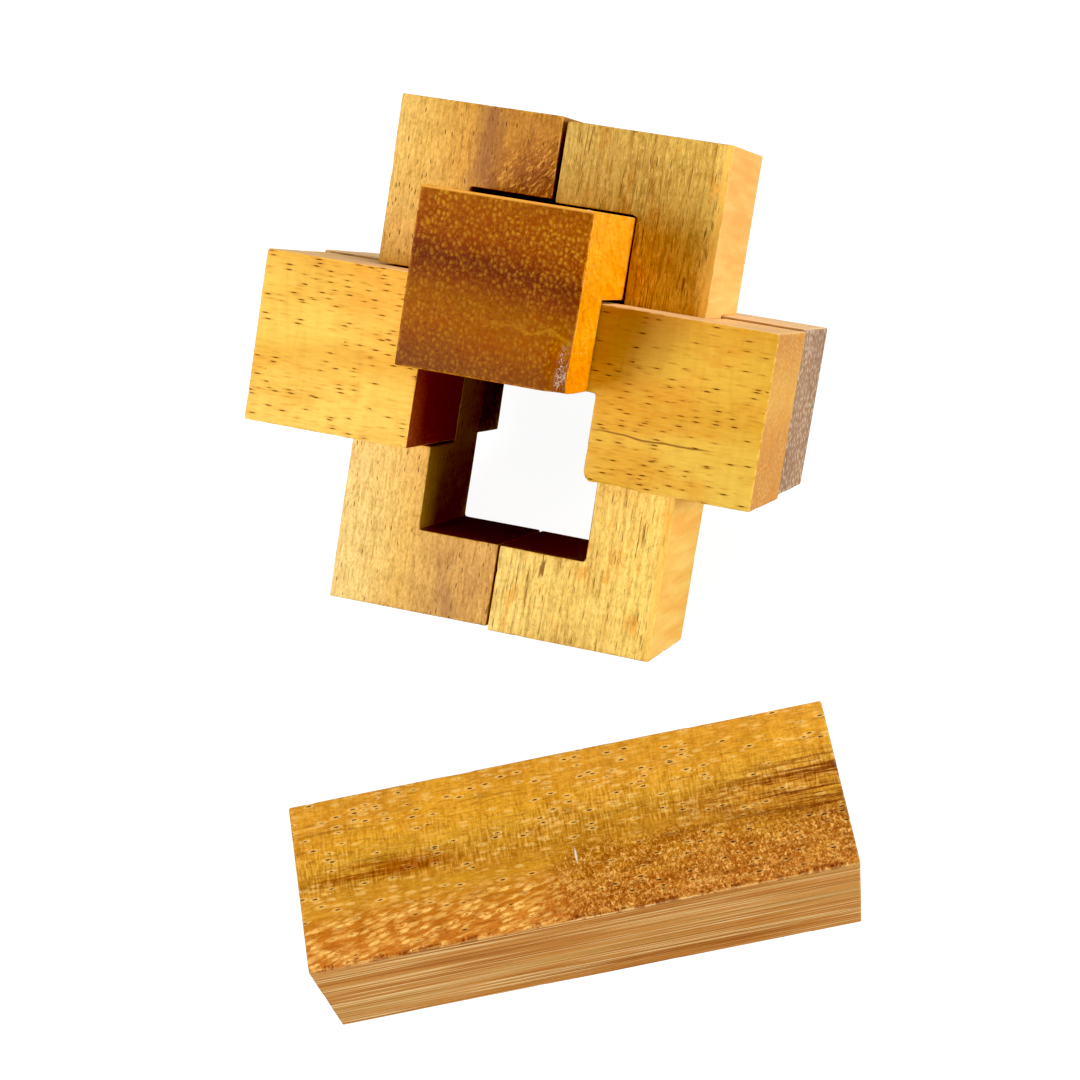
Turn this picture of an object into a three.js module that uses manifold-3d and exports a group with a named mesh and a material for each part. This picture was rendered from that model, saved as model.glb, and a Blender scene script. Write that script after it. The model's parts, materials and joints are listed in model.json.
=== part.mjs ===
// Six-piece wooden burr puzzle with its key stick pulled out and laid beside it.
// Millimetres, +Z up, standing on z = 0, with the origin under the middle of the whole arrangement.
//
// The burr has a frame of its own: its centre is the origin, x runs along the two cross sticks,
// y along the two uprights and z along the crown stick and the key. Its module is half a stick's
// width, so that each stick is 2 x 2 x 6 modules and every notch edge lies on a whole module.

import * as THREE from 'three';
import { mergeVertices } from 'three/addons/utils/BufferGeometryUtils.js';
import Module from 'manifold-3d';

// Driving dimensions
const STICK_WIDTH = 25;
const STICK_LENGTH = 75;
const FIT_GAP = 0.3;
const EDGE_EASE = 0.5;

// Looseness of a hand-cut puzzle whose key is out
const UPRIGHT_SPLAY = THREE.MathUtils.degToRad(0.2);
const RIGHT_UPRIGHT_DROP = 0.45;
const UPRIGHT_NOTCH_PLAY = 0.5;
const NECK_NOTCH_PLAY = 0.2;
const FRONT_KEY_NOTCH_PLAY = 0.6;

// The key, planed a little thinner and cut a little longer than the rest
const KEY_WIDTH = 24.5;
const KEY_LENGTH = 76.5;
const KEY_YAW = THREE.MathUtils.degToRad(25.1);
const KEY_PLACE = { across: 1.71, forward: 7.14 };

// The burr leans back on the crown stick's rear edge and on the uprights' feet
const LEAN = Math.atan2(2, 3);

const MODULE = STICK_WIDTH / 2;
const HALF_LENGTH = STICK_LENGTH / 2;
const THROUGH = 2 * STICK_WIDTH;

const wasm = await Module();
wasm.setup();

function toSolid(geometry) {
  const bare = geometry.clone();
  bare.deleteAttribute('normal');
  bare.deleteAttribute('uv');
  const merged = mergeVertices(bare, 1e-4);
  const vertProperties = new Float32Array(merged.attributes.position.array);
  const triVerts = new Uint32Array(merged.index.array);
  return new wasm.Manifold(new wasm.Mesh({ numProp: 3, vertProperties, triVerts }));
}

function toGeometry(solid) {
  const mesh = solid.getMesh();
  const geometry = new THREE.BufferGeometry();
  const positions = new THREE.BufferAttribute(new Float32Array(mesh.vertProperties), 3);
  geometry.setAttribute('position', positions);
  geometry.setIndex(new THREE.BufferAttribute(new Uint32Array(mesh.triVerts), 1));
  geometry.computeVertexNormals();
  return geometry;
}

// A square bar along z, centred on the origin, with the edges of both ends eased by a small chamfer
function easedBar(width, length) {
  const half = width / 2 - EDGE_EASE;
  const outline = new THREE.Shape();
  outline.moveTo(-half, -half);
  outline.lineTo(half, -half);
  outline.lineTo(half, half);
  outline.lineTo(-half, half);
  outline.closePath();
  const bar = new THREE.ExtrudeGeometry(outline, {
    depth: length - 2 * EDGE_EASE,
    bevelEnabled: true,
    bevelSize: EDGE_EASE,
    bevelThickness: EDGE_EASE,
    bevelSegments: 1,
  });
  return bar.translate(0, 0, EDGE_EASE - length / 2);
}

// A cutter between two corners given in modules, grown by half the fit gap on every side.
// An axis left out of the corners is cut right through.
function notch(from, to, play = {}) {
  const low = new THREE.Vector3();
  const high = new THREE.Vector3();
  for (const axis of ['x', 'y', 'z']) {
    if (axis in from) {
      low[axis] = from[axis] * MODULE - FIT_GAP / 2 - (play[axis]?.low ?? 0);
      high[axis] = to[axis] * MODULE + FIT_GAP / 2 + (play[axis]?.high ?? 0);
    } else {
      low[axis] = -THROUGH;
      high[axis] = THROUGH;
    }
  }
  const size = high.clone().sub(low);
  const middle = high.clone().add(low).multiplyScalar(0.5);
  const box = new THREE.BoxGeometry(size.x, size.y, size.z);
  return box.translate(middle.x, middle.y, middle.z);
}

function cut(bar, notches) {
  let solid = toSolid(bar);
  for (const cutter of notches) solid = solid.subtract(toSolid(cutter));
  return toGeometry(solid);
}

// Runs right across the burr in front of the uprights, with a notch below for the key
// and a narrow one behind for the neck of the upright that shares its half.
function crossStick(keyNotchPlay) {
  const bar = easedBar(STICK_WIDTH - FIT_GAP, STICK_LENGTH);
  bar.rotateY(Math.PI / 2);
  bar.translate(0, 0, MODULE);
  const keyNotch = notch({ x: -1, y: -3 }, { x: 1, y: 0 }, { x: { high: keyNotchPlay } });
  const neckNotch = notch({ x: 1, z: -1 }, { x: 2, z: 1 }, { x: { high: NECK_NOTCH_PLAY } });
  return cut(bar, [keyNotch, neckNotch]);
}

// Stands right of the centre. The long inner notch takes the crown, the key and a cross stick,
// and the square one behind takes the cross stick of the other half.
function uprightStick() {
  const bar = easedBar(STICK_WIDTH - FIT_GAP, STICK_LENGTH);
  bar.rotateX(Math.PI / 2);
  bar.translate(MODULE, 0, 0);
  const play = { y: { low: UPRIGHT_NOTCH_PLAY, high: UPRIGHT_NOTCH_PLAY } };
  const innerNotch = notch({ x: -1, y: -2 }, { x: 1, y: 2 }, play);
  const crossNotch = notch({ x: 0, y: -1, z: -2 }, { x: 3, y: 1, z: 0 }, play);
  return cut(bar, [innerNotch, crossNotch]);
}

// Bridges both cross sticks from front to back, above the key
function crownStick() {
  const bar = easedBar(STICK_WIDTH - FIT_GAP, STICK_LENGTH);
  bar.translate(0, MODULE, 0);
  const bridge = notch({ y: -1, z: -2 }, { y: 1, z: 2 });
  return cut(bar, [bridge]);
}

// Plain, with no notch at all, lying on its side
function keyStick() {
  const bar = easedBar(KEY_WIDTH, KEY_LENGTH);
  bar.rotateY(Math.PI / 2);
  return bar.translate(0, 0, KEY_WIDTH / 2);
}

function wooden(name, geometry, color) {
  const material = new THREE.MeshStandardMaterial({ color, roughness: 0.5, metalness: 0 });
  const mesh = new THREE.Mesh(geometry, material);
  mesh.name = name;
  return mesh;
}

// Leans an upright out at its top, about the inner edge of its foot
function splay(upright) {
  upright.rotation.z = -UPRIGHT_SPLAY;
  upright.position.x = HALF_LENGTH * Math.sin(UPRIGHT_SPLAY);
  return upright;
}

// A cross stick and the upright that it traps. The two halves are the same shape,
// one turned half round the burr's own y axis to face the other.
function rightHalf() {
  const half = new THREE.Group();
  const cross = wooden('front_cross_stick', crossStick(FRONT_KEY_NOTCH_PLAY), 0xd9a441);
  const upright = splay(wooden('right_upright_stick', uprightStick(), 0xc79a4b));
  upright.position.y = -RIGHT_UPRIGHT_DROP;
  half.add(cross, upright);
  return half;
}

function leftHalf() {
  const half = new THREE.Group();
  const cross = wooden('rear_cross_stick', crossStick(0), 0xb98f5c);
  const upright = splay(wooden('left_upright_stick', uprightStick(), 0xcf9f52));
  half.add(cross, upright);
  half.rotation.y = Math.PI;
  return half;
}

function lowestPoint(object) {
  return new THREE.Box3().setFromObject(object, true).min.z;
}

function leaningBurr() {
  const burr = new THREE.Group();
  burr.add(rightHalf(), leftHalf(), wooden('crown_stick', crownStick(), 0x8a5a2b));
  burr.rotation.x = LEAN;
  burr.position.y = -HALF_LENGTH * Math.sin(LEAN);
  burr.position.z = -lowestPoint(burr);
  return burr;
}

function keyOnTheTable() {
  const key = wooden('key_stick', keyStick(), 0xb9813a);
  key.rotation.z = KEY_YAW;
  key.position.set(KEY_PLACE.across * MODULE, -KEY_PLACE.forward * MODULE, 0);
  return key;
}

const group = new THREE.Group();
group.add(leaningBurr(), keyOnTheTable());
const middle = new THREE.Box3().setFromObject(group, true).getCenter(new THREE.Vector3());
group.position.set(-middle.x, -middle.y, 0);

export default group;
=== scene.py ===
import json
import math

import bpy
import numpy as np
from mathutils import Euler, Matrix, Vector

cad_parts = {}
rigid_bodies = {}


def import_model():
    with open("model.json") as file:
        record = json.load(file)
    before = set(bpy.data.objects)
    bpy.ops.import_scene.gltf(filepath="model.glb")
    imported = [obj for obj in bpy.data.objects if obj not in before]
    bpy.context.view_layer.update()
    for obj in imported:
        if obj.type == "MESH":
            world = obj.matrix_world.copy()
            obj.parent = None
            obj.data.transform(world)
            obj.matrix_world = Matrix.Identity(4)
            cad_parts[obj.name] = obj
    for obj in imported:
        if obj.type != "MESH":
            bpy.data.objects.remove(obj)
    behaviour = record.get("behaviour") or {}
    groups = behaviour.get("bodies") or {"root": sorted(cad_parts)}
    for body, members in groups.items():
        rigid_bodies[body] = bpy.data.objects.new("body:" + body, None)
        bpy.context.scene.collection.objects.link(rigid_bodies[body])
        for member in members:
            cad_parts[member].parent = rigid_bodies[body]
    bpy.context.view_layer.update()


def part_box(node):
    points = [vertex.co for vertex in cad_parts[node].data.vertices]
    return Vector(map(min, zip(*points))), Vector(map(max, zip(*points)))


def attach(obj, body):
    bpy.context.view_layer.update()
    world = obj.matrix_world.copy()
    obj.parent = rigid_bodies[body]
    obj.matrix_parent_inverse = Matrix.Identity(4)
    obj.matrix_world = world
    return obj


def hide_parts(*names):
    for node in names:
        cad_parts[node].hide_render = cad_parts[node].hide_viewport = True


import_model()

# Six hand-cut hardwood sticks of a burr puzzle. Each stick is built in a frame of its own, with
# its grain along x, and is then turned into the place of its CAD node. The low z side of a
# notched stick is the one that faces the middle of the burr.

# Metres. FAR lies well past the ends of any stick.
MM = 0.001
FAR = 1.0

# The burr's module, and the sizes of its sticks: length, then the two widths
MODULE = 12.5 * MM
CROWN_SIZE = (75.3 * MM, 24.65 * MM, 24.95 * MM)
CROSS_SIZE = (75.4 * MM, 25.0 * MM, 24.72 * MM)
UPRIGHT_SIZE = (75.4 * MM, 24.9 * MM, 24.75 * MM)
KEY_SIZE = (77.2 * MM, 24.9 * MM, 24.6 * MM)
NOTCH_GROWTH = 0.05 * MM

# How the sticks are turned, and how far two of them stand out of line
LEAN = math.atan2(2, 3)
LEFT_SPLAY = math.radians(0.2)
RIGHT_SPLAY = math.radians(0.1)
KEY_YAW = math.radians(25.1)
REAR_CROSS_SHIFT = (-0.3 * MM, 0.38 * MM, 0)
RIGHT_UPRIGHT_SHIFT = (-0.13 * MM, 0, 0)

# Mesh fineness
MESH_STEP = 0.6 * MM
FEWEST_ROWS = 4
EDGE_CROWDING = 0.8
SETTLE_STEPS = 6
SLOPE_PROBE = 0.01 * MM
GENTLEST_SLOPE = 0.25

# Hand wear: its depths, and the sizes of its patches along and across the grain
EDGE_SOFTNESS = 0.105 * MM
CORNER_SOFTNESS = 0.2 * MM
EDGE_REACH = 0.6 * MM
SURFACE_WAVE = 0.05 * MM
CHIP_DEPTH = 0.2 * MM
CHIP_RARITY = 0.78
WEAR_PATCH = (8 * MM, 6 * MM, 6 * MM)
WAVE_PATCH = (26 * MM, 11 * MM, 11 * MM)
CHIP_PATCH = (2.2 * MM, 1.1 * MM, 1.1 * MM)
FRAY_PATCH = (0.9 * MM, 0.5 * MM, 0.5 * MM)
FIRST_SEED = 100
SEEDS_PER_STICK = 10

# The floor glows as a light table does, and the darkest tones are pulled down to black
FLOOR_REACH = 6.0
FLOOR_GLOW = 0.93
WORLD_GLOW = 0.3
BLACK_LEVEL = 0.014

# The place, width and power of each round softbox. All are aimed at one point inside the burr.
LIGHT_AIM = (0, 0.01, 0.03)
SOFTBOXES = {
    "softbox_left": ((-0.42, -0.4, 0.52), 0.4, 4.1),
    "softbox_right": ((0.95, 0.1, 0.16), 0.5, 9.5),
    "softbox_front": ((0.15, -0.95, 0.2), 0.5, 2.5),
    "softbox_back": ((0.15, 0.8, 0.6), 0.6, 6.0),
}

# In metres and degrees, with the lens and the sensor's width in millimetres
CAMERA_AIM = Vector((-0.0133, 0.0145, 0))
CAMERA_DISTANCE = 0.3889
CAMERA_AZIMUTH = math.radians(28.54)
CAMERA_ELEVATION = math.radians(61.2)
CAMERA_ROLL = math.radians(-14.6)
CAMERA_LENS = 81
CAMERA_SENSOR = 36
CAMERA_CLIP = (0.01, 50)


# ---------------------------------------------------------------------------------------------
# Stick shapes
# ---------------------------------------------------------------------------------------------

class Notch:
    """A box cut out of a stick. Each span is in modules along one axis, or None right through.

    Play, in metres, moves the low and high ends of a span outwards. Slopes tilt an end: they
    map (axis, end) to how far that end moves for each metre along x, y and z.
    """

    def __init__(self, spans, play=None, slopes=None):
        self.spans = []
        self.slopes = slopes or {}
        for axis, span in enumerate(spans):
            if span is None:
                self.spans.append((-FAR, FAR))
                continue
            low_play, high_play = (play or {}).get(axis, (0, 0))
            low = span[0] * MODULE - NOTCH_GROWTH - low_play
            high = span[1] * MODULE + NOTCH_GROWTH + high_play
            self.spans.append((max(low, -FAR), high))

    def planes(self, points):
        """Signed distances to the sides of the box, negative inside, leaving out the far sides."""
        found = []
        for axis, (low, high) in enumerate(self.spans):
            if low > -FAR:
                found.append(low + self.tilt(points, axis, 0) - points[:, axis])
            if high < FAR:
                found.append(points[:, axis] - high - self.tilt(points, axis, 1))
        return found

    def tilt(self, points, axis, end):
        """How far each point's end of the span has moved."""
        return points @ np.array(self.slopes.get((axis, end), (0, 0, 0)))


# From below the stick up to its middle
BELOW = (-FAR / MODULE, 0)

CROWN_NOTCHES = [Notch([(-2, 2), None, BELOW], play={2: (0, 0.4 * MM)})]

REAR_CROSS_NOTCHES = [
    Notch([(-1, 1), BELOW, None]),
    Notch([(1, 2), None, BELOW], play={0: (0, 0.2 * MM)}),
]

FRONT_CROSS_NOTCHES = [
    Notch([(-1, 1), BELOW, None], play={0: (0.1 * MM, 0.9 * MM)}),
    Notch([(1, 2), None, BELOW], play={0: (0, 0.2 * MM)}),
]

# The roof over the crown stick closes down towards the back
LEFT_UPRIGHT_NOTCHES = [
    Notch([(-2, 2), None, BELOW], play={0: (0.2 * MM, 0.31 * MM)},
          slopes={(0, 1): (0, -0.03, 0)}),
    Notch([(-1, 1), BELOW, None], play={0: (0.2 * MM, 0.2 * MM)}),
]

# So does this one, a little, and the notch is cut deeper towards the foot
RIGHT_UPRIGHT_NOTCHES = [
    Notch([(-2, 2), None, BELOW], play={0: (-0.2 * MM, 0.53 * MM), 2: (0, 0.19 * MM)},
          slopes={(0, 1): (0, 0.011, 0), (2, 1): (-0.016, 0, 0)}),
    Notch([(-1, 1), BELOW, None], play={0: (0.2 * MM, 0.75 * MM)}),
]


def grid_lines(ends):
    """Rows of mesh between neighbouring ends, crowded towards each end, where the edges are."""
    lines = [np.array([ends[0]])]
    for low, high in zip(ends, ends[1:]):
        count = max(FEWEST_ROWS, round((high - low) / MESH_STEP))
        t = np.linspace(0, 1, count + 1)[1:]
        t = t - EDGE_CROWDING * np.sin(2 * np.pi * t) / (2 * np.pi)
        lines.append(low + (high - low) * t)
    return np.concatenate(lines)


def cell_grid(size, notches):
    """Grid lines along each axis of a bar, and which of the cells between them are wood."""
    lines = []
    for axis in range(3):
        half = size[axis] / 2
        cuts = {end for notch in notches for end in notch.spans[axis] if -half < end < half}
        lines.append(grid_lines(sorted(cuts | {-half, half})))
    middles = np.meshgrid(*[(line[1:] + line[:-1]) / 2 for line in lines], indexing="ij")
    filled = np.ones(middles[0].shape, bool)
    for notch in notches:
        held = [(m > low) & (m < high) for m, (low, high) in zip(middles, notch.spans)]
        filled &= ~(held[0] & held[1] & held[2])
    return lines, filled


def facing_quads(filled, axis, outward, grid_shape):
    """The quads between wood and air that face up (1) or down (-1) an axis, as grid points."""
    across = (axis + 1) % 3
    along = (axis + 2) % 3
    padded = np.pad(filled, 1)
    before = np.take(padded, range(padded.shape[axis] - 1), axis)
    after = np.take(padded, range(1, padded.shape[axis]), axis)
    shows = before & ~after if outward == 1 else after & ~before
    corner = np.argwhere(shows)
    corner[:, across] -= 1
    corner[:, along] -= 1
    ring = []
    for step_across, step_along in ((0, 0), (1, 0), (1, 1), (0, 1))[::outward]:
        point = corner.copy()
        point[:, across] += step_across
        point[:, along] += step_along
        ring.append(np.ravel_multi_index(point.T, grid_shape))
    return np.stack(ring, 1)


def block_surface(size, notches):
    """Points and outward quads on the surface of a bar with box-shaped notches cut out of it."""
    lines, filled = cell_grid(size, notches)
    grid_shape = tuple(len(line) for line in lines)
    quads = []
    for axis in range(3):
        for outward in (1, -1):
            quads.append(facing_quads(filled, axis, outward, grid_shape))
    used, quads = np.unique(np.concatenate(quads), return_inverse=True)
    index = np.unravel_index(used, grid_shape)
    points = np.stack([line[i] for line, i in zip(lines, index)], 1)
    return points, quads.reshape(-1, 4)


def lattice_noise(points, pitch, seed):
    """Smooth value noise from 0 to 1, with one random value at each point of a lattice.

    The large numbers only scramble the lattice's coordinates, and adding 1000 keeps those positive.
    """
    place = points / np.asarray(pitch) + 1000.0
    cell = np.floor(place).astype(np.int64)
    t = place - cell
    t = t * t * (3 - 2 * t)
    total = np.zeros(len(points))
    for corner in np.ndindex(2, 2, 2):
        c = cell + corner
        key = c[:, 0] * 73856093 ^ c[:, 1] * 19349663 ^ c[:, 2] * 83492791 ^ seed * 2654435761
        key = (key ^ (key >> 13)) * 1274126177 & 0x7FFFFFFF
        value = ((key ^ (key >> 16)) & 0xFFFF) / 0xFFFF
        share = np.prod(np.where(corner, t, 1 - t), 1)
        total += value * share
    return total


def soft_max(values, softness):
    """The largest of several fields, rounded over where two of them are close."""
    top = np.max(values, 0)
    return top + softness * np.log(sum(np.exp((v - top) / softness) for v in values))


class WornStick:
    """The distance to the surface of a notched bar with soft edges, hollows and chips.

    Tears are (place, reach, depth) in millimetres: ragged hollows at single places.
    """

    def __init__(self, size, notches, tears, seed):
        self.half = [side / 2 for side in size]
        self.notches = notches
        self.tears = tears
        self.seed = seed

    def limits(self, points):
        """Distances past the low and high x, y and z sides, then into each notch."""
        values = []
        for axis, half in enumerate(self.half):
            values.append(-half - points[:, axis])
            values.append(points[:, axis] - half)
        for notch in self.notches:
            values.append(-soft_max(notch.planes(points), CORNER_SOFTNESS))
        return values

    def edge_nearness(self, points):
        """1 on a protruding edge, falling to 0 away from it."""
        second = np.sort(self.limits(points), 0)[-2]
        return np.exp(np.minimum(second, 0) / EDGE_REACH)

    # Marks where the wood gets painted shade, partly raw dark wood, inside the burr.
    def innerness(self, points):
        """1 in the notches, and partly so on the low z side, which faces the middle of the burr."""
        low_z, outer_sides = 4, 6
        side = np.argmax(self.limits(points), 0)
        inner = np.where(side >= outer_sides, 1.0, np.where(side == low_z, 0.8, 0.0))
        return inner * bool(self.notches)

    def prepare(self, points):
        """Wear is worked out once, at each point's first place."""
        wear = lattice_noise(points, WEAR_PATCH, self.seed)
        self.softness = EDGE_SOFTNESS * (0.7 + 0.9 * wear ** 2)
        wave = lattice_noise(points, WAVE_PATCH, self.seed + 1)
        chip = lattice_noise(points, CHIP_PATCH, self.seed + 2)
        chip = np.clip((chip - CHIP_RARITY) / (1 - CHIP_RARITY), 0, 1)
        chip = chip * self.edge_nearness(points) ** 2
        self.hollow = SURFACE_WAVE * wave + CHIP_DEPTH * chip
        ragged = lattice_noise(points, FRAY_PATCH, self.seed + 3)
        for place, reach, depth in self.tears:
            away = (points - np.array(place) * MM) / (np.array(reach) * MM)
            self.hollow += depth * MM * np.exp(-(away ** 2).sum(1)) * (0.35 + 0.65 * ragged)

    def distance(self, points):
        """Below 0 in the wood and above 0 in the air."""
        return soft_max(self.limits(points), self.softness) + self.hollow


def settle(points, stick):
    """Moves points onto the worn surface, along its slope."""
    stick.prepare(points)
    for _ in range(SETTLE_STEPS):
        here = stick.distance(points)
        slope = np.zeros_like(points)
        for axis in range(3):
            moved = points.copy()
            moved[:, axis] += SLOPE_PROBE
            slope[:, axis] = (stick.distance(moved) - here) / SLOPE_PROBE
        steepness = np.maximum((slope ** 2).sum(1), GENTLEST_SLOPE)
        points = points - slope * (here / steepness)[:, None]
    return points


def stick_mesh(name, size, notches, tears, seed):
    """A worn stick's mesh, which also stores how near an edge and how far inside each point is."""
    start, quads = block_surface(size, notches)
    stick = WornStick(size, notches, tears, seed)
    points = settle(start, stick)
    mesh = bpy.data.meshes.new(name)
    mesh.from_pydata(points.tolist(), [], quads.tolist())
    for attribute, values in (
        ("edge", stick.edge_nearness(start)),
        ("inner", stick.innerness(start)),
    ):
        mesh.attributes.new(attribute, "FLOAT", "POINT").data.foreach_set("value", values)
    mesh.shade_smooth()
    return mesh


# ---------------------------------------------------------------------------------------------
# Wood
# ---------------------------------------------------------------------------------------------

def srgb(red, green, blue):
    """A colour from 0 to 255 as the linear values that a shader takes."""
    values = [c / 255 for c in (red, green, blue)]
    return [c / 12.92 if c <= 0.04045 else ((c + 0.055) / 1.055) ** 2.4 for c in values] + [1.0]


class Graph:
    """Short calls for the nodes of one material. Most return the socket that holds the result."""

    def __init__(self, name):
        self.material = bpy.data.materials.new(name)
        self.material.use_nodes = True
        self.tree = self.material.node_tree
        self.shader = self.tree.nodes["Principled BSDF"]

    def node(self, kind, inputs=(), **settings):
        made = self.tree.nodes.new(kind)
        for setting, value in settings.items():
            setattr(made, setting, value)
        for key, value in dict(inputs).items():
            self.feed(made.inputs[key], value)
        return made

    def feed(self, socket, value):
        if isinstance(value, bpy.types.NodeSocket):
            self.tree.links.new(value, socket)
        else:
            socket.default_value = value

    def math(self, operation, a, b=0.0):
        """One sum, by the name of its operation."""
        return self.node("ShaderNodeMath", {0: a, 1: b}, operation=operation).outputs[0]

    def product(self, *factors):
        result = factors[0]
        for factor in factors[1:]:
            result = self.math("MULTIPLY", result, factor)
        return result

    def scaled(self, vector, scale, shift=(0, 0, 0)):
        """A vector times a scale per axis, then moved by a shift."""
        inputs = {"Vector": vector, "Scale": scale, "Location": shift}
        return self.node("ShaderNodeMapping", inputs, vector_type="POINT").outputs[0]

    def noise(self, vector, scale, detail=2.0, roughness=0.5, distortion=0.0, shift=(0, 0, 0)):
        """Noise stretched by a scale per axis, in turns per millimetre."""
        made = self.node("ShaderNodeTexNoise", {"Vector": self.scaled(vector, scale, shift)})
        made.inputs["Scale"].default_value = 1.0
        made.inputs["Detail"].default_value = detail
        made.inputs["Roughness"].default_value = roughness
        made.inputs["Distortion"].default_value = distortion
        return made.outputs["Fac"]

    def cells(self, vector, scale, shift=(0, 0, 0), dimensions="3D"):
        """Distance to the nearest of many scattered points, and that point's random number."""
        made = self.node("ShaderNodeTexVoronoi", {"Vector": self.scaled(vector, scale, shift)},
                         feature="F1", voronoi_dimensions=dimensions)
        made.inputs["Scale"].default_value = 1.0
        split = self.node("ShaderNodeSeparateColor", {"Color": made.outputs["Color"]})
        return made.outputs["Distance"], split.outputs["Red"]

    def range(self, value, low, high, to_low=0.0, to_high=1.0):
        """A smooth step; it runs downwards where low is above high."""
        if low > high:
            low, high, to_low, to_high = high, low, to_high, to_low
        inputs = {
            "Value": value, "From Min": low, "From Max": high, "To Min": to_low, "To Max": to_high,
        }
        made = self.node("ShaderNodeMapRange", inputs, interpolation_type="SMOOTHSTEP")
        return made.outputs["Result"]

    def near(self, value, middle, reach, blur):
        """1 where a value is within reach of the middle, fading to 0 over the blur."""
        away = self.math("ABSOLUTE", self.math("SUBTRACT", value, middle))
        return self.range(away, reach + blur, max(reach, 0.0))

    def blob(self, vector, middle, reach):
        """1 at the middle of an ellipsoid, fading to 0 at its skin. Millimetres."""
        scale = tuple(1 / r for r in reach)
        shift = tuple(-m / r for m, r in zip(middle, reach))
        inputs = {0: self.scaled(vector, scale, shift)}
        length = self.node("ShaderNodeVectorMath", inputs, operation="LENGTH")
        return self.range(length.outputs["Value"], 1.0, 0.3)

    def ramp(self, value, stops):
        """Colours along a value, from stops of (place, colour from 0 to 255)."""
        made = self.node("ShaderNodeValToRGB", {"Fac": value})
        elements = made.color_ramp.elements
        while len(elements) < len(stops):
            elements.new(1.0)
        for element, (place, colour) in zip(elements, stops):
            element.position = place
            element.color = srgb(*colour)
        return made.outputs["Color"]

    def turned(self, vector, turn):
        return self.node("ShaderNodeMapping", {"Vector": vector, "Rotation": turn}).outputs[0]

    def split(self, vector):
        return self.node("ShaderNodeSeparateXYZ", {"Vector": vector}).outputs

    def joined(self, x, y):
        return self.node("ShaderNodeCombineXYZ", {"X": x, "Y": y}).outputs[0]

    def mix(self, share, a, b, blend="MIX"):
        inputs = {0: share, 6: a, 7: b}
        return self.node("ShaderNodeMix", inputs, data_type="RGBA", blend_type=blend).outputs[2]

    def tint(self, colour, share, tint):
        """Multiplies a colour by a tint, as far as the share says."""
        return self.mix(share, colour, (*tint, 1.0), "MULTIPLY")

    def bump(self, height, strength, distance):
        inputs = {"Height": height, "Strength": strength, "Distance": distance}
        return self.node("ShaderNodeBump", inputs).outputs["Normal"]


# Linear multipliers, for Graph.tint
DARK_FIBRE = (0.52, 0.4, 0.22)
PALE_FIBRE = (1.22, 1.3, 1.45)
FIGURE = (0.72, 0.62, 0.42)


class Grain:
    """The coordinates of one stick's wood, in millimetres, and the masks that share them."""

    def __init__(self, g, look):
        coordinates = g.node("ShaderNodeTexCoord").outputs
        self.raw = g.scaled(coordinates["Object"], (1 / MM,) * 3)
        self.place = g.scaled(coordinates["Object"], (1 / MM,) * 3, look["seed"])
        self.x, self.y, self.z = g.split(self.raw)
        facing = g.split(coordinates["Normal"])
        self.end = g.range(g.math("ABSOLUTE", facing["X"]), 0.55, 0.8)
        self.facing_y = facing["Y"]
        self.edge = g.node("ShaderNodeAttribute", attribute_name="edge").outputs["Fac"]
        self.inner = g.node("ShaderNodeAttribute", attribute_name="inner").outputs["Fac"]
        wander = g.noise(self.place, (0.02, 0.08, 0.08), detail=3, roughness=0.55)
        wander = g.product(g.math("SUBTRACT", wander, 0.5), look["wander"])
        across = g.product(self.y, look["layers"][0])
        depth = g.product(self.z, look["layers"][1])
        self.layer = g.math("ADD", g.math("ADD", across, depth), g.math("ADD", wander, 0.5))
        self.patch = g.noise(self.place, (0.05, 0.16, 0.16), detail=3, roughness=0.55,
                             shift=(7, 3, 1))


def pores(g, at, look):
    """Open pores, as scattered ovals along the grain. Returns each core and the ring round it."""
    rim = 0.22
    length, width = look["pore_size"]
    share = look["pore_share"]
    scale = (2 * rim / length, 2 * rim / width, 2 * rim / width)
    nearest, chance = g.cells(at.place, scale, shift=(2, 2, 2))
    crowded = g.product(g.math("SUBTRACT", at.patch, 0.5), look["pore_crowding"])
    chance = g.math("ADD", chance, crowded)
    opened = g.range(chance, 1 - share, 1.02 - share)
    core = g.product(g.range(nearest, rim * 1.1, rim * 0.55), opened)
    sheath = g.product(g.range(nearest, rim * 2.6, rim * 1.1), opened)
    return core, sheath


def fibres(g, at, look, colour):
    """Fine fibres along the stick, a broad figure across it, and grit where the wood is coarse."""
    fibre = g.noise(at.place, look["fibre_scale"], detail=4, roughness=0.62, distortion=0.3)
    colour = g.tint(colour, g.range(fibre, 0.54, 0.3, 0, look["fibre"]), DARK_FIBRE)
    colour = g.tint(colour, g.range(fibre, 0.5, 0.7, 0, look["fibre"]), PALE_FIBRE)
    relief = g.product(fibre, 0.8)
    figure = g.noise(at.place, (0.42, 0.09, 0.09), detail=3, roughness=0.6, distortion=0.8,
                     shift=(1, 1, 6))
    colour = g.tint(colour, g.range(figure, 0.56, 0.34, 0, look["figure"]), FIGURE)
    if look["grit"]:
        grit = g.noise(at.place, (1.5, 3.4, 3.4), detail=3, roughness=0.75, shift=(6, 2, 2))
        colour = g.tint(colour, g.range(grit, 0.52, 0.34, 0, look["grit"]), DARK_FIBRE)
        colour = g.tint(colour, g.range(grit, 0.52, 0.68, 0, look["grit"]), PALE_FIBRE)
        relief = g.math("ADD", relief, g.product(grit, 0.5 * look["grit"]))
    return colour, relief


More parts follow.
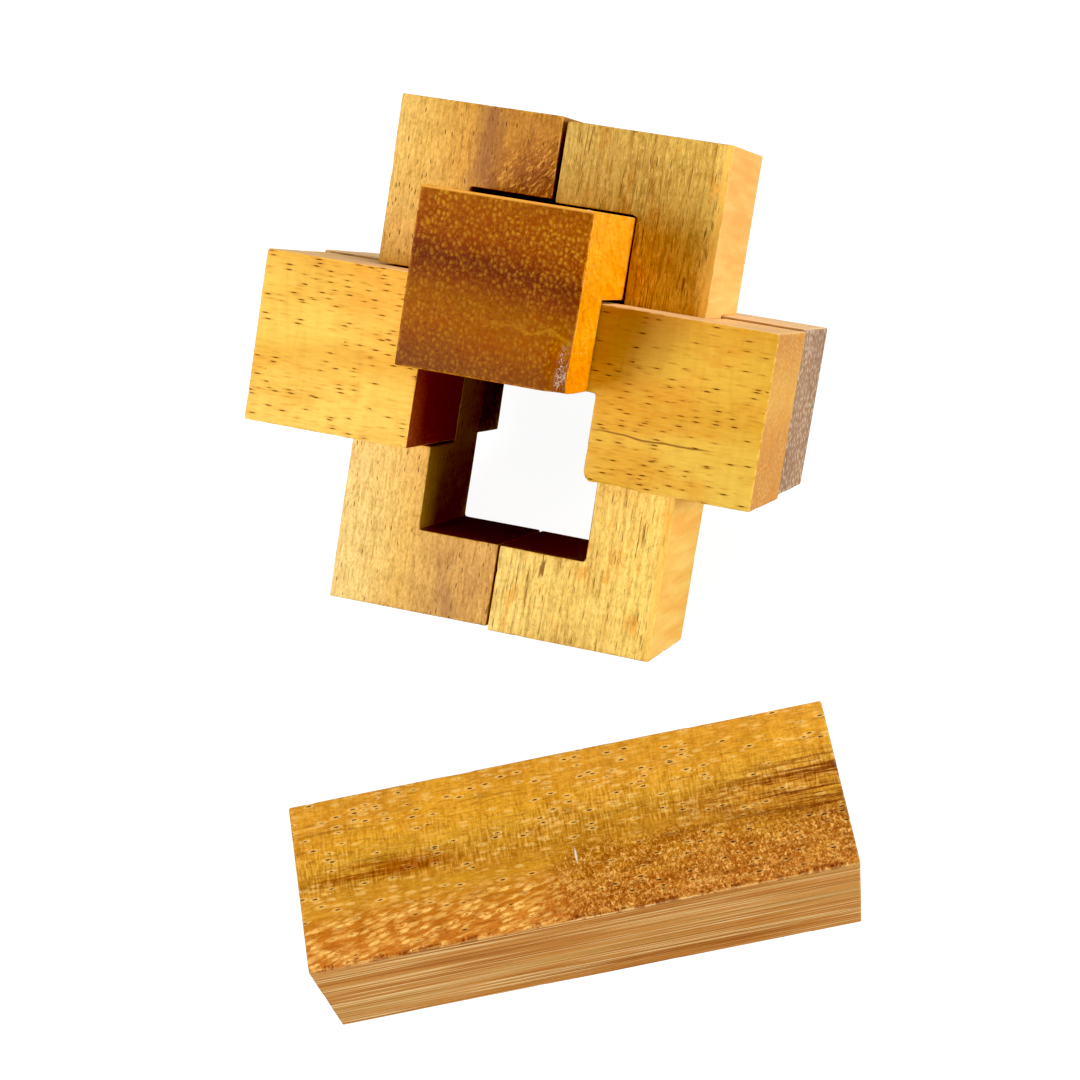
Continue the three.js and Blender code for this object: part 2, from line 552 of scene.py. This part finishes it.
def threads(g, at, look, colour, relief):
    """Broken dark threads along the stick, cut a little into its surface."""
    thread = g.noise(at.place, (0.09, 2.7, 2.7), detail=3, roughness=0.65, distortion=0.5,
                     shift=(3, 9, 4))
    broken = g.noise(at.place, (0.3, 0.9, 0.9), detail=1, shift=(8, 8, 1))
    thread = g.product(g.range(thread, 0.58, 0.66), g.range(broken, 0.42, 0.56))
    colour = g.mix(g.product(thread, look["threads"]), colour, look["thread_colour"])
    return colour, g.math("SUBTRACT", relief, g.product(thread, 0.35))


def side_grain(g, at, look):
    """Colour and relief of the wood cut along the grain."""
    colour = g.ramp(at.layer, look["side"])
    colour = g.mix(g.range(at.patch, 0.42, 0.72, 0, look["cloudiness"]), colour, look["cloud"])
    # Painted shade, partly the wood's own darker tone: the shade tint darkens part of a face.
    if look["shade"]:
        along, face, tint = look["shade"]
        colour = g.tint(colour, g.product(g.range(at.x, *along), g.range(at.z, *face)), tint)
    colour, relief = fibres(g, at, look, colour)
    if look["flecks"]:
        fleck = g.noise(at.place, (0.7, 4.2, 4.2), detail=2, roughness=0.6, shift=(2, 6, 6))
        fleck = g.range(fleck, 0.56, 0.66, 0, look["flecks"])
        colour = g.mix(fleck, colour, look["fleck_colour"])
    if look["threads"]:
        colour, relief = threads(g, at, look, colour, relief)
    core, sheath = pores(g, at, look)
    colour = g.mix(g.product(sheath, look["sheath"]), colour, look["sheath_colour"])
    colour = g.mix(g.product(core, look["pores"]), colour, look["pore_colour"])
    relief = g.math("SUBTRACT", relief, g.product(core, 0.9))
    return colour, relief


def end_specks(g, at, look):
    """Pores cut across, in two sizes, thinned out patch by patch and towards one side."""
    place = g.split(at.place)
    flat = g.joined(place["Y"], place["Z"])
    bend = g.noise(at.place, (0.2, 0.5, 0.5), detail=2, shift=(4, 6, 1))
    bend = g.joined(bend, g.product(bend, -1.3))
    flat = g.node("ShaderNodeVectorMath", {0: flat, 1: bend}, operation="ADD").outputs[0]
    pitch = look["speck_pitch"]
    specks = []
    for size, strength, shift in ((pitch, 1.0, (5, 1, 0)), (pitch * 0.62, 0.5, (1, 9, 0))):
        dot, chance = g.cells(flat, (1 / size, 0.86 / size, 1), shift=shift, dimensions="2D")
        specks.append(g.product(g.range(dot, 0.56, 0.06), g.range(chance, -0.1, 0.8), strength))
    speck = g.math("MAXIMUM", *specks)
    speck = g.product(speck, g.range(at.patch, 0.3, 0.62, 0.55, 1.0))
    return g.product(speck, g.range(at.layer, *look["speck_fade"], 0.55, 1.0))


def end_grain(g, at, look):
    """Colour and relief of the sawn ends, where the same pores show as pale specks."""
    colour = g.ramp(at.layer, look["end"])
    blotch = g.noise(at.place, (0.2, 0.33, 0.33), detail=3, roughness=0.6, shift=(8, 2, 5))
    colour = g.tint(colour, g.range(blotch, 0.5, 0.66, 0, 0.6), (1.0, 0.78, 0.62))
    grit = g.noise(at.place, (0.8, 2.4, 2.4), detail=4, roughness=0.7)
    colour = g.mix(g.range(grit, 0.5, 0.72, 0, 0.55), colour, look["end_dark"])
    colour = g.tint(colour, g.range(grit, 0.45, 0.3, 0, 0.6), PALE_FIBRE)
    speck = end_specks(g, at, look)
    colour = g.mix(g.product(speck, look["specks"]), colour, look["speck_colour"])
    saw = g.noise(at.place, (0.1, 0.3, 2.8), detail=3, roughness=0.6, distortion=0.4)
    relief = g.math("ADD", g.product(saw, 0.5), g.product(speck, 0.3))
    return colour, relief


def handled(g, at, colour, look):
    """Inside faces get painted shade, partly raw dark wood; handled edges are rubbed pale, with some
    dirt.
    """
    worn = g.noise(at.place, (0.45, 0.9, 0.9), detail=3, roughness=0.6, shift=(4, 4, 4))
    rubbed = g.product(g.range(at.edge, 0.45, 0.95), g.range(worn, 0.4, 0.62), look["rubbed"])
    grubby = g.product(g.range(at.edge, 0.35, 0.9), g.range(worn, 0.52, 0.36), look["grubby"])
    colour = g.mix(rubbed, colour, look["rub_colour"])
    colour = g.tint(colour, grubby, DARK_FIBRE)
    # Painted shade, partly raw dark wood: the notches and the side facing the middle of the burr
    # take the inside tint.
    return g.tint(colour, at.inner, look["inside"])


# Single marks. Their places are in millimetres from the middle of the stick.

def front_cross_marks(g, at, colour):
    """Orange patches, a duller right arm with a fine crack, the crown's painted shadow and staining.
    """
    patches = g.noise(at.place, (0.06, 0.15, 0.15), detail=4, roughness=0.65, distortion=0.6,
                      shift=(9, 2, 2))
    colour = g.mix(g.range(patches, 0.52, 0.68, 0, 0.5), colour, srgb(238, 160, 44))
    colour = g.tint(colour, g.range(at.x, 6.0, 16.0), (0.82, 0.79, 0.6))
    stray = g.noise(at.place, (0.09, 0.01, 0.01), detail=1.5, roughness=0.5)
    line = g.math("ADD", at.y, g.product(g.math("SUBTRACT", stray, 0.5), 4.0))
    crack = g.product(g.near(line, -5.1, 0.06, 0.13), g.near(at.x, 22.5, 6.0, 4.0))
    crack = g.product(crack, g.range(at.z, 11.5, 12.2))
    colour = g.mix(g.product(crack, 0.8), colour, srgb(120, 72, 16))
    # Painted shadow of the crown stick, partly brown staining of the wood: a dark patch beside it.
    crown_shadow_and_staining = g.blob(at.raw, (11.0, 11.0, 12.5), (20.0, 12.0, 9.0))
    colour = g.tint(colour, g.product(crown_shadow_and_staining, 0.85), (0.55, 0.44, 0.34))
    return cream_top(g, at, colour)


def cream_top(g, at, colour):
    """The upper side of a cross stick is cream, with fine tan lines."""
    top = g.range(at.facing_y, 0.5, 0.8)
    lines = g.noise(at.place, (0.08, 1.6, 1.6), detail=4, roughness=0.7, distortion=0.4,
                    shift=(6, 1, 2))
    stops = [(0.36, (214, 164, 104)), (0.48, (238, 198, 144)), (0.64, (248, 216, 168))]
    return g.mix(g.product(top, 0.75), colour, g.ramp(lines, stops))


def left_upright_marks(g, at, colour):
    """A purple streak and smudge, a duller band, and a curl of dark figure beside the gap."""
    sway = g.product(g.math("SUBTRACT", at.patch, 0.5), 9.0)
    streak = g.near(g.math("ADD", at.z, sway), -1.0, 0.2, 2.4)
    streak = g.product(streak, g.range(at.x, 14.0, 24.0))
    smudge = g.blob(at.raw, (-32.0, -12.5, -5.0), (8.0, 6.0, 6.5))
    violet = g.math("MAXIMUM", streak, g.product(smudge, g.range(at.patch, 0.35, 0.6)))
    colour = g.mix(g.product(violet, 0.62), colour, srgb(144, 88, 56))
    dull = g.product(g.range(at.z, 2.0, -6.0), g.range(at.x, 8.0, 20.0))
    colour = g.tint(colour, dull, (0.88, 0.84, 0.56))
    curl = g.blob(at.raw, (25.0, -12.0, -11.5), (14.0, 9.0, 12.5))
    slanted = g.turned(at.place, (0, -0.7, 0))
    rays = g.noise(slanted, (0.8, 1.2, 2.4), detail=4, roughness=0.7, distortion=0.6)
    dark_rays = g.product(curl, g.range(rays, 0.6, 0.42, 0.2, 1.0))
    colour = g.tint(colour, dark_rays, (0.46, 0.28, 0.1))
    pale_rays = g.product(curl, g.range(rays, 0.56, 0.64), 0.8)
    return g.mix(pale_rays, colour, srgb(236, 180, 74))


def right_upright_marks(g, at, colour):
    """Reddish stains and painted crown shadow. The outer side is peach with faint bands, its rim
    yellow.
    """
    bands = g.noise(at.place, (0.5, 0.05, 0.05), detail=3, roughness=0.6, distortion=0.4,
                    shift=(3, 3, 7))
    peach = g.ramp(bands, [(0.35, (242, 168, 85)), (0.5, (246, 182, 98)), (0.65, (249, 193, 114))])
    peach = g.tint(peach, g.range(at.x, 10.0, -10.0), (1.02, 1.2, 1.03))
    # Painted shadow of the crown stick, partly the wood's warmer tone: a browner patch beside it.
    crown_shadow_and_tone = g.blob(at.raw, (16.0, 12.0, 5.0), (16.0, 8.0, 12.0))
    colour = g.tint(colour, g.product(crown_shadow_and_tone, 0.8), (0.96, 0.78, 0.5))
    stains = g.noise(at.place, (0.16, 0.5, 0.5), detail=3, roughness=0.6, shift=(4, 9, 9))
    colour = g.tint(colour, g.range(stains, 0.56, 0.68, 0, 0.8), (0.96, 0.72, 0.46))
    rim = g.product(g.range(at.z, 10.9, 11.6), 0.6)
    colour = g.mix(rim, colour, srgb(250, 196, 84))
    return g.mix(g.product(g.range(at.z, 12.15, 12.3), 0.9), colour, peach)


def crown_marks(g, at, colour):
    """On the front end a golden vein, a pale lip and torn silvery fibres; on the sides a figure."""
    stray = g.noise(at.place, (0.2, 0.25, 0.25), detail=3, roughness=0.6)
    line = g.math("ADD", at.z, g.product(g.math("SUBTRACT", stray, 0.5), 5.0))
    line = g.math("ADD", line, g.product(at.y, 0.08))
    vein = g.product(g.near(line, -4.2, 0.05, 0.35), g.range(at.y, -6.0, 6.0), at.end)
    colour = g.mix(g.product(vein, 0.3), colour, srgb(204, 146, 30))
    lip = g.product(g.range(at.z, 11.95, 12.25), at.end)
    colour = g.mix(g.product(lip, 0.8), colour, srgb(246, 176, 78))
    figure = g.noise(g.turned(at.place, (0, 0.5, 0)), (0.35, 0.5, 1.1), detail=4, roughness=0.65,
                     distortion=1.2, shift=(4, 1, 1))
    side = g.math("SUBTRACT", 1.0, at.end)
    colour = g.tint(colour, g.product(side, g.range(figure, 0.56, 0.36)), (0.86, 0.68, 0.5))
    colour = g.tint(colour, g.product(side, g.range(figure, 0.54, 0.7)), (1.05, 1.16, 2.2))
    torn_corner = g.blob(at.raw, (37.4, 11.1, -9.6), (3.0, 1.1, 4.4))
    fray = g.noise(at.place, (0.9, 1.6, 1.1), detail=4, roughness=0.8, distortion=1.5)
    fray = g.product(torn_corner, g.range(fray, 0.5, 0.6), at.end, 0.8)
    return g.mix(fray, colour, srgb(226, 200, 184))


def key_marks(g, at, colour):
    """The planed top: ticks across it, pale flecks, torn grain, a burn, a smear and a scratch."""
    top = g.range(at.z, 11.6, 12.0)
    colour = ticked(g, at, colour, top)
    flecked_part = g.product(g.range(at.y, -3.0, -7.0), top, g.range(at.x, 8.0, -6.0))
    colour = flecked(g, at, colour, flecked_part)
    torn_part = g.product(g.range(at.y, 0.0, -4.0), g.range(at.x, -8.0, 2.0), top)
    colour = torn(g, at, colour, torn_part)
    streaks = g.noise(at.place, (0.1, 1.9, 1.9), detail=4, roughness=0.65, distortion=0.4,
                      shift=(3, 3, 3))
    burn = g.blob(at.raw, (40.0, 0.4, 12.5), (29.0, 7.0, 8.0))
    burn = g.product(burn, g.range(streaks, 0.44, 0.56), 0.95)
    colour = g.tint(colour, burn, (0.34, 0.16, 0.06))
    smear = g.blob(at.raw, (-26.0, 0.5, 12.5), (15.0, 2.2, 8.0))
    smear = g.product(smear, g.range(streaks, 0.44, 0.54), 0.9)
    colour = g.tint(colour, smear, (0.55, 0.28, 0.12))
    scratch = g.blob(at.raw, (0.5, -3.2, 12.4), (0.2, 1.5, 2.0))
    colour = g.mix(g.product(scratch, 0.8), colour, srgb(225, 222, 205))
    return key_front(g, at, colour)


def ticked(g, at, colour, top):
    """A band of short dark and pale ticks across the grain."""
    ticks = g.noise(at.place, (3.0, 0.55, 0.55), detail=3, roughness=0.6, shift=(9, 3, 3))
    band = g.product(g.range(at.y, -3.5, 0.0), g.range(at.y, 9.0, 3.5, 0.3, 1.0))
    band = g.product(band, g.range(at.patch, 0.25, 0.5), top)
    dark = g.product(band, g.range(ticks, 0.5, 0.62), 0.62)
    colour = g.tint(colour, dark, (0.55, 0.44, 0.3))
    pale = g.product(band, g.range(ticks, 0.47, 0.38), 0.35)
    return g.mix(pale, colour, srgb(246, 190, 92))


def flecked(g, at, colour, share):
    """Pale ovals in slanting rows on orange wood."""
    slanted = g.turned(at.place, (0, 0, -0.22))
    nearest, chance = g.cells(slanted, (0.46, 1.4, 1.4), shift=(2, 2, 2))
    ragged = g.noise(slanted, (1.2, 3.0, 3.0), detail=3, roughness=0.7, distortion=0.5)
    pale = g.product(g.range(nearest, 0.56, 0.24), g.range(chance, 0.0, 0.6, 0.3, 1.0))
    pale = g.product(pale, g.range(ragged, 0.4, 0.52))
    streaks = g.noise(slanted, (0.35, 1.5, 1.5), detail=3, roughness=0.6, distortion=0.4,
                      shift=(2, 5, 5))
    colour = g.tint(colour, g.product(share, 0.9), (0.8, 0.58, 0.42))
    streaked = g.product(share, g.range(streaks, 0.5, 0.62), 0.4)
    colour = g.mix(streaked, colour, srgb(240, 182, 88))
    return g.mix(g.product(share, pale, 0.85), colour, srgb(248, 196, 104))


def torn(g, at, colour, share):
    """Grain torn up by the plane into a fur of short bright and dark hairs."""
    hair = g.noise(at.place, (2.6, 2.0, 2.0), detail=4, roughness=0.75, distortion=0.7,
                   shift=(1, 2, 8))
    clumps = g.noise(at.place, (0.25, 0.45, 0.45), detail=3, roughness=0.6, shift=(7, 7, 1))
    clumps = g.product(share, g.range(clumps, 0.35, 0.6, 0.3, 1.0))
    colour = g.tint(colour, clumps, (0.74, 0.6, 0.46))
    colour = g.tint(colour, g.product(share, g.range(hair, 0.54, 0.4), 0.9), (0.5, 0.34, 0.2))
    return g.mix(g.product(share, g.range(hair, 0.55, 0.64), 0.8), colour, srgb(244, 190, 104))


def key_front(g, at, colour):
    """The side towards the front is tan, with bundles of thin lines, and its top edge is nicked."""
    face = g.range(at.facing_y, -0.5, -0.8)
    tone = g.noise(at.place, (0.02, 0.22, 0.22), detail=3, roughness=0.6, shift=(6, 6, 2))
    tan = g.ramp(tone, [(0.3, (196, 126, 53)), (0.5, (216, 148, 72)), (0.7, (210, 158, 83))])
    colour = g.mix(g.product(face, 0.85), colour, tan)
    lines = g.noise(at.place, (0.025, 2.3, 2.3), detail=2.5, roughness=0.6, distortion=0.15,
                    shift=(2, 8, 3))
    dark_lines = g.product(face, g.range(lines, 0.48, 0.38), 0.9)
    colour = g.tint(colour, dark_lines, (0.62, 0.46, 0.32))
    bundled = g.product(face, g.range(tone, 0.6, 0.4, 0.5, 1.0))
    pale_lines = g.product(bundled, g.range(lines, 0.54, 0.6), 0.95)
    colour = g.mix(pale_lines, colour, srgb(250, 216, 152))
    nicks = g.noise(at.place, (0.6, 0.3, 0.3), detail=3, roughness=0.7, shift=(5, 5, 9))
    rim = g.product(g.range(at.y, -11.6, -12.0), g.range(at.z, 11.4, 12.0))
    rim = g.product(rim, g.range(nicks, 0.48, 0.56))
    return g.tint(colour, g.product(rim, 0.85), (0.42, 0.22, 0.12))


def no_marks(g, at, colour):
    return colour


def wood(name, look):
    """One stick's material, from its side and end grain, its marks and its wear."""
    g = Graph(name)
    at = Grain(g, look)
    side, side_relief = side_grain(g, at, look)
    end, end_relief = end_grain(g, at, look)
    colour = g.mix(at.end, side, end)
    colour = look["marks"](g, at, colour)
    colour = handled(g, at, colour, look)
    relief = g.node("ShaderNodeMix", {0: at.end, 2: side_relief, 3: end_relief}).outputs[0]
    g.feed(g.shader.inputs["Base Color"], colour)
    g.feed(g.shader.inputs["Normal"], g.bump(relief, look["relief"], 0.2 * MM))
    roughness = look["roughness"]
    gloss = g.range(side_relief, 0.0, 0.7, roughness + 0.16, roughness - 0.06)
    g.feed(g.shader.inputs["Roughness"], gloss)
    g.shader.inputs["Specular IOR Level"].default_value = look["specular"]
    return g.material


# Colours run from 0 to 255. The seed, which shifts the patterns, the pores' sizes, the specks'
# pitch and the ranges in shade are in millimetres; layers and fibre_scale are per millimetre. The
# stops of side and end, and speck_fade, are places along the layer. The tints in inside and shade
# are linear multipliers that paint shade, partly the wood's own darker tone, and marks is a
# function. The rest are shares and strengths.
BASE_LOOK = {
    "seed": (0, 0, 0),
    "wander": 0.5,
    "layers": (0.038, 0.0),
    "cloud": (226, 160, 58),
    "cloudiness": 0.3,
    "fibre_scale": (0.3, 2.3, 2.3),
    "fibre": 0.5,
    "figure": 0.3,
    "grit": 0.0,
    "flecks": 0.0,
    "fleck_colour": (248, 210, 112),
    "threads": 0.0,
    "thread_colour": (120, 70, 16),
    "pore_size": (1.3, 0.2),
    "pore_share": 0.4,
    "pore_crowding": 1.8,
    "pores": 0.75,
    "pore_colour": (70, 34, 8),
    "sheath": 0.15,
    "sheath_colour": (252, 208, 118),
    "speck_pitch": 0.8,
    "speck_fade": (-2.0, -1.0),
    "specks": 0.7,
    "speck_colour": (214, 160, 70),
    "end_dark": (130, 76, 30),
    "rubbed": 0.25,
    "grubby": 0.3,
    "rub_colour": (255, 214, 128),
    "relief": 0.35,
    "roughness": 0.46,
    "specular": 0.2,
    # Painted shade, partly raw dark wood, for the faces inside the burr
    "inside": (0.53, 0.49, 0.44),
    "shade": None,
    "marks": no_marks,
}

COLOUR_KEYS = (
    "cloud", "fleck_colour", "thread_colour", "pore_colour", "sheath_colour", "speck_colour",
    "end_dark", "rub_colour",
)


def stick_look(**changes):
    """The base look with some changes, and its single colours made ready for the shader."""
    full = {**BASE_LOOK, **changes}
    return {key: srgb(*value) if key in COLOUR_KEYS else value for key, value in full.items()}


LOOKS = {
    "front_cross_stick": stick_look(
        seed=(11, 4, 9), wander=0.3, layers=(0.036, 0.0),
        side=[
            (0.0, (252, 209, 98)), (0.3, (251, 205, 88)), (0.45, (238, 181, 58)),
            (0.55, (251, 204, 84)), (0.8, (249, 200, 78)), (1.0, (238, 178, 58)),
        ],
        end=[
            (0.0, (218, 150, 80)), (0.4, (224, 156, 84)), (0.6, (242, 184, 98)),
            (1.0, (212, 142, 80)),
        ],
        cloud=(240, 170, 48), cloudiness=0.75, fibre=0.18, figure=0.22, flecks=0.12,
        pores=0.95, pore_share=0.5, pore_size=(1.1, 0.19), pore_crowding=3.2,
        pore_colour=(66, 32, 4), sheath=0.45, sheath_colour=(208, 136, 38),
        specks=0.9, speck_colour=(250, 204, 126), end_dark=(168, 92, 44),
        # The strong inside tint paints the shade on the tunnel walls, partly raw dark wood.
        inside=(0.38, 0.15, 0.2), marks=front_cross_marks,
    ),
    "rear_cross_stick": stick_look(
        seed=(31, 24, 2), wander=0.4, layers=(0.02, 0.02),
        side=[(0.0, (208, 158, 94)), (0.5, (236, 190, 130)), (1.0, (250, 216, 164))],
        end=[(0.0, (140, 104, 78)), (0.5, (160, 122, 90)), (1.0, (140, 106, 84))],
        cloud=(206, 156, 96), threads=0.3,
        specks=0.7, speck_pitch=1.15, speck_colour=(240, 216, 184), end_dark=(112, 78, 58),
        rub_colour=(248, 220, 176), marks=cream_top,
    ),
    "left_upright_stick": stick_look(
        seed=(5, 41, 17), wander=0.35, layers=(0.0, 0.038),
        side=[
            (0.0, (218, 162, 82)), (0.25, (218, 162, 82)), (0.45, (222, 170, 84)),
            (0.6, (238, 188, 92)), (0.8, (246, 206, 118)), (1.0, (248, 212, 132)),
        ],
        end=[(0.0, (140, 84, 34)), (1.0, (186, 128, 62))],
        cloud=(222, 166, 88), fibre=0.5, grit=0.5, threads=0.25, flecks=0.3,
        pores=0.8, pore_share=0.35, pore_size=(1.0, 0.2),
        # The shade tint darkens the upper part: painted shade, partly the wood's own darker tone.
        shade=((-14, 10), (20, 19), (0.88, 0.78, 0.52)), marks=left_upright_marks,
    ),
    "right_upright_stick": stick_look(
        seed=(23, 8, 33), wander=0.3, layers=(0.0, 0.038),
        side=[
            (0.0, (252, 218, 122)), (0.2, (250, 210, 112)), (0.45, (240, 198, 98)),
            (0.7, (250, 208, 106)), (0.9, (255, 214, 108)), (1.0, (255, 206, 108)),
        ],
        end=[(0.0, (160, 104, 46)), (1.0, (200, 142, 74))],
        cloud=(236, 190, 92), fibre=0.7, fibre_scale=(0.16, 1.9, 1.9), grit=0.5,
        threads=0.85, flecks=0.6, pores=0.7, pore_share=0.3, pore_size=(1.8, 0.2),
        # The shade tint darkens the upper front beside the crown stick: painted shade, partly the
        # wood's own darker tone.
        shade=((-10, 12), (12.2, 9), (0.68, 0.65, 0.5)), marks=right_upright_marks,
    ),
    "crown_stick": stick_look(
        seed=(2, 13, 28), wander=0.12, layers=(0.004, 0.037),
        side=[(0.0, (230, 138, 14)), (0.5, (235, 151, 20)), (1.0, (240, 163, 42))],
        end=[
            (0.0, (118, 60, 24)), (0.14, (134, 68, 16)), (0.28, (152, 78, 4)),
            (0.4, (146, 80, 4)), (0.5, (124, 54, 8)), (0.6, (102, 36, 8)),
            (0.72, (138, 60, 4)), (0.88, (150, 74, 4)), (1.0, (144, 74, 8)),
        ],
        cloud=(250, 184, 44), cloudiness=0.4, fibre=0.2, figure=0.25, pores=0.2, pore_share=0.2,
        specks=0.72, speck_pitch=0.72, speck_fade=(0.5, 0.8), speck_colour=(208, 144, 34),
        end_dark=(92, 38, 10), rub_colour=(236, 160, 70), rubbed=0.5, grubby=0.1,
        roughness=0.42, specular=0.1, marks=crown_marks,
    ),
    "key_stick": stick_look(
        seed=(44, 19, 6), wander=0.3, layers=(0.037, 0.0),
        side=[
            (0.0, (212, 142, 60)), (0.14, (208, 140, 50)), (0.3, (206, 144, 43)),
            (0.42, (202, 142, 38)), (0.5, (186, 126, 29)), (0.58, (206, 150, 44)),
            (0.7, (220, 156, 40)), (0.86, (222, 156, 43)), (1.0, (220, 154, 50)),
        ],
        end=[(0.0, (176, 124, 68)), (0.5, (194, 142, 84)), (1.0, (180, 128, 72))],
        cloud=(202, 134, 42), cloudiness=0.5, fibre=0.35, fibre_scale=(0.3, 2.0, 2.0),
        figure=0.45, grit=0.4, threads=0.5, thread_colour=(136, 84, 18), flecks=0.2,
        pores=0.95, pore_share=0.45, pore_size=(0.95, 0.28), sheath=0.45,
        speck_colour=(220, 172, 108), marks=key_marks,
    ),
}


# ---------------------------------------------------------------------------------------------
# The puzzle
# ---------------------------------------------------------------------------------------------

def axes(along, across, up):
    """A rotation that turns x, y and z into the three directions given."""
    return Matrix((along, across, up)).transposed().to_4x4()


LEANING = Matrix.Rotation(LEAN, 4, "X")
HALF_TURN = Matrix.Rotation(math.pi, 4, "Y")
UPRIGHT_AXES = axes((0, 1, 0), (0, 0, 1), (1, 0, 0))
CROWN_AXES = axes((0, 0, 1), (1, 0, 0), (0, 1, 0))
RIGHT_UPRIGHT_TURN = LEANING @ Matrix.Rotation(-RIGHT_SPLAY, 4, "Z") @ UPRIGHT_AXES
LEFT_UPRIGHT_TURN = LEANING @ HALF_TURN @ Matrix.Rotation(-LEFT_SPLAY, 4, "Z") @ UPRIGHT_AXES

# Each stick's body, size and notches, and how it is turned. A shift is along the burr's own axes.
STICKS = {
    "crown_stick": {
        "body": "crown", "size": CROWN_SIZE, "notches": CROWN_NOTCHES,
        "turn": LEANING @ CROWN_AXES,
        "tears": [((37.6, 11.4, -9.5), (1.2, 1.2, 3.5), 0.9)],
    },
    "front_cross_stick": {
        "body": "right_half", "size": CROSS_SIZE, "notches": FRONT_CROSS_NOTCHES,
        "turn": LEANING,
        "tears": [
            ((17.5, -12.5, 12.3), (3.5, 0.7, 2.0), 0.5),
            ((13.4, -12.5, 12.3), (0.8, 0.8, 3), 0.8),
        ],
    },
    "right_upright_stick": {
        "body": "right_half", "size": UPRIGHT_SIZE, "notches": RIGHT_UPRIGHT_NOTCHES,
        "turn": RIGHT_UPRIGHT_TURN, "shift": RIGHT_UPRIGHT_SHIFT,
    },
    "rear_cross_stick": {
        "body": "left_half", "size": CROSS_SIZE, "notches": REAR_CROSS_NOTCHES,
        "turn": LEANING @ HALF_TURN, "shift": REAR_CROSS_SHIFT,
    },
    "left_upright_stick": {
        "body": "left_half", "size": UPRIGHT_SIZE, "notches": LEFT_UPRIGHT_NOTCHES,
        "turn": LEFT_UPRIGHT_TURN,
    },
    "key_stick": {
        "body": "key", "size": KEY_SIZE, "notches": [],
        "turn": Matrix.Rotation(KEY_YAW, 4, "Z"),
    },
}


def add_stick(node, seed):
    stick = STICKS[node]
    slot = node.replace("_stick", "_wood")
    low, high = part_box(node)
    shift = LEANING.to_3x3() @ Vector(stick.get("shift", (0, 0, 0)))
    place = (low + high) / 2 + shift
    mesh = stick_mesh(node, stick["size"], stick["notches"], stick.get("tears", []), seed)
    mesh.materials.append(wood(slot, LOOKS[node]))
    piece = bpy.data.objects.new("worn_" + node, mesh)
    bpy.context.scene.collection.objects.link(piece)
    piece.matrix_world = Matrix.Translation(place) @ stick["turn"]
    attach(piece, stick["body"])
    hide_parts(node)


# ---------------------------------------------------------------------------------------------
# Floor, light and camera
# ---------------------------------------------------------------------------------------------

def add_floor():
    """A large plain floor with a faint mottle."""
    g = Graph("studio_floor")
    place = g.scaled(g.node("ShaderNodeTexCoord").outputs["Object"], (1 / MM,) * 3)
    mottle = g.noise(place, (0.02, 0.02, 0.02))
    grey = g.ramp(mottle, [(0.2, (128, 128, 128)), (0.8, (134, 134, 134))])
    g.feed(g.shader.inputs["Base Color"], grey)
    g.shader.inputs["Roughness"].default_value = 0.9
    g.shader.inputs["Specular IOR Level"].default_value = 0.1
    g.shader.inputs["Emission Color"].default_value = (1, 1, 1, 1)
    g.shader.inputs["Emission Strength"].default_value = FLOOR_GLOW
    mesh = bpy.data.meshes.new("studio_floor")
    turns = ((-1, -1), (1, -1), (1, 1), (-1, 1))
    corners = [(x * FLOOR_REACH, y * FLOOR_REACH, 0) for x, y in turns]
    mesh.from_pydata(corners, [], [(0, 1, 2, 3)])
    mesh.materials.append(g.material)
    floor = bpy.data.objects.new("studio_floor", mesh)
    bpy.context.scene.collection.objects.link(floor)
    keep_glow_off_sticks(floor)


def keep_glow_off_sticks(floor):
    """The floor's glow is only for show: none of it falls on the wood."""
    unlit = bpy.data.collections.new("sticks")
    for number, node in enumerate(STICKS):
        unlit.objects.link(bpy.data.objects["worn_" + node])
        unlit.collection_objects[number].light_linking.link_state = "EXCLUDE"
    floor.light_linking.receiver_collection = unlit


def add_softbox(name, place, width, power):
    data = bpy.data.lights.new(name, "AREA")
    data.shape = "DISK"
    data.size = width
    data.energy = power
    light = bpy.data.objects.new(name, data)
    light.location = place
    aim = Vector(LIGHT_AIM) - Vector(place)
    light.rotation_euler = aim.to_track_quat("-Z", "Y").to_euler()
    bpy.context.scene.collection.objects.link(light)


def add_lights():
    world = bpy.data.worlds.new("studio")
    world.use_nodes = True
    background = world.node_tree.nodes["Background"]
    background.inputs["Color"].default_value = (1, 1, 1, 1)
    background.inputs["Strength"].default_value = WORLD_GLOW
    bpy.context.scene.world = world
    for name, (place, width, power) in SOFTBOXES.items():
        add_softbox(name, place, width, power)


def add_camera():
    data = bpy.data.cameras.new("camera")
    data.lens = CAMERA_LENS
    data.sensor_width = CAMERA_SENSOR
    data.clip_start, data.clip_end = CAMERA_CLIP
    turn = Euler((math.pi / 2 - CAMERA_ELEVATION, 0, CAMERA_AZIMUTH)).to_matrix().to_4x4()
    turn = turn @ Matrix.Rotation(CAMERA_ROLL, 4, "Z")
    camera = bpy.data.objects.new("camera", data)
    back = turn @ Vector((0, 0, CAMERA_DISTANCE))
    camera.matrix_world = Matrix.Translation(CAMERA_AIM + back) @ turn
    bpy.context.scene.collection.objects.link(camera)
    bpy.context.scene.camera = camera


def set_display():
    """Plain display colours, with the darkest tones pulled down to black."""
    settings = bpy.context.scene.view_settings
    settings.view_transform = "Standard"
    settings.use_curve_mapping = True
    settings.curve_mapping.black_level = (BLACK_LEVEL,) * 3
    settings.curve_mapping.update()


for number, node in enumerate(STICKS):
    add_stick(node, FIRST_SEED + SEEDS_PER_STICK * number)
add_floor()
add_lights()
add_camera()
set_display()

bpy.context.view_layer.update()
